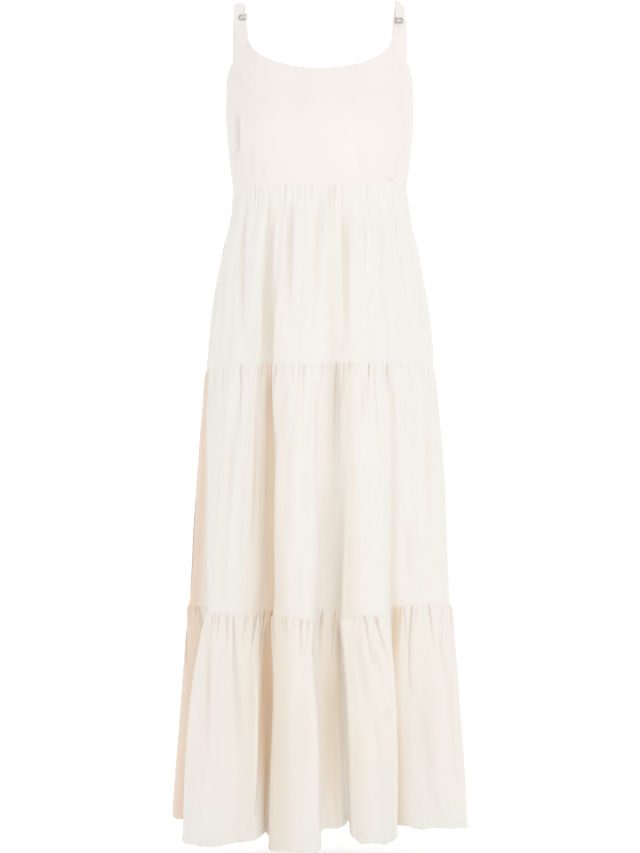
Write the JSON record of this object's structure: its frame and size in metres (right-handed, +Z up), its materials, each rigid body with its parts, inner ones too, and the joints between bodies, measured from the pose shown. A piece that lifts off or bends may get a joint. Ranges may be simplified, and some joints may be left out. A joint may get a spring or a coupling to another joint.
{
  "type": "maxi dress",
  "caption": "Sleeveless tiered maxi dress with a scoop neck, ring-adjusted straps, an empire seam and three gathered skirt tiers, filled out as worn.",
  "frame": {"origin": "on the shoulder line, midway between the tops of the two straps, where the wearer's shoulders hold the dress up", "axes": "+Z up along the dress, -Y out of its front, +X towards the left side of a wearer"},
  "size_m": [0.4689, 0.3639, 1.3254],
  "materials": {
    "cloth": "matt plain weave",
    "metal": "polished"
  },
  "bodies": {
    "root": {"bodice_front": "cloth", "bodice_back": "cloth", "strap_left": "cloth", "strap_right": "cloth", "ring_left": "metal", "ring_right": "metal", "tier1_front": "cloth", "tier1_back": "cloth", "tier2_front": "cloth", "tier2_back": "cloth", "tier3_front": "cloth", "tier3_back": "cloth"}
  },
  "joints": []
}
